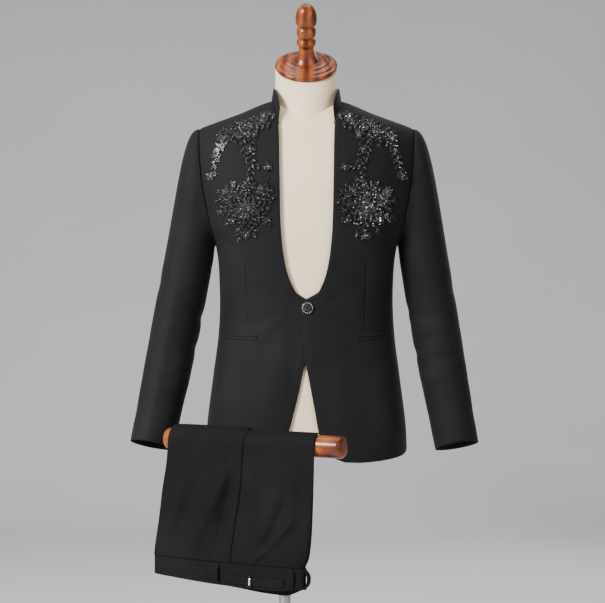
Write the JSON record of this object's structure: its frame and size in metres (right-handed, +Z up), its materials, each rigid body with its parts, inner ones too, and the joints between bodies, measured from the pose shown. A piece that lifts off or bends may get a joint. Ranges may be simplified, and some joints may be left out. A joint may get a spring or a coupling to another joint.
{
  "type": "business suit on a limbless dress form",
  "caption": "Black dinner-style business suit: stand-collar jacket with beaded shoulders on a limbless dress form, trousers folded over a wooden rod.",
  "frame": {"origin": "middle of the underside of the round base, on the axis of the pole", "axes": "+Z up, the front of the jacket looks along -Y, the wearer's left is at +X"},
  "size_m": [0.7, 0.5211, 1.6181],
  "materials": {
    "base": "polished chrome plate",
    "pole": "polished chrome tube",
    "bracket": "polished chrome",
    "wood_rod": "red-brown varnish",
    "form": "cream jersey cover, smooth",
    "wood_cap": "red-brown varnish, turned",
    "front_left": "matte fine twill, near black",
    "front_right": "matte fine twill, near black",
    "back_left": "matte fine twill, near black",
    "back_right": "matte fine twill, near black",
    "collar": "matte fine twill, near black",
    "sleeve_left": "matte fine twill, near black",
    "sleeve_right": "matte fine twill, near black",
    "welt_left": "matte fine twill, near black",
    "welt_right": "matte fine twill, near black",
    "applique_left": "beadwork in jet and clear crystal",
    "applique_right": "beadwork in jet and clear crystal",
    "button": "black, faceted, with a ring of small clear stones",
    "trouser_front_left": "matte fine twill, near black",
    "trouser_front_right": "matte fine twill, near black",
    "trouser_back_left": "matte fine twill, near black",
    "trouser_back_right": "matte fine twill, near black",
    "waistband": "matte fine twill, near black",
    "leg_left": "matte fine twill, near black",
    "leg_right": "matte fine twill, near black",
    "loop_left": "matte fine twill, near black",
    "loop_right": "matte fine twill, near black",
    "loop_side": "matte fine twill, near black",
    "strap": "matte fine twill, near black",
    "slider": "bright metal"
  },
  "bodies": {
    "root": {"base": "base", "pole": "pole", "rod_bracket": "bracket", "trouser_rod": "wood_rod", "torso": "form", "neck_cap": "wood_cap", "jacket_front_left": "front_left", "jacket_front_right": "front_right", "jacket_back_left": "back_left", "jacket_back_right": "back_right", "jacket_collar": "collar", "sleeve_left": "sleeve_left", "sleeve_right": "sleeve_right", "pocket_welt_left": "welt_left", "pocket_welt_right": "welt_right", "applique_left": "applique_left", "applique_right": "applique_right", "front_button": "button", "trouser_front_left": "trouser_front_left", "trouser_front_right": "trouser_front_right", "trouser_back_left": "trouser_back_left", "trouser_back_right": "trouser_back_right", "trouser_waistband": "waistband", "trouser_leg_left": "leg_left", "trouser_leg_right": "leg_right", "belt_loop_left": "loop_left", "belt_loop_right": "loop_right", "belt_loop_side": "loop_side", "waist_strap": "strap", "waist_slider": "slider"}
  },
  "joints": []
}
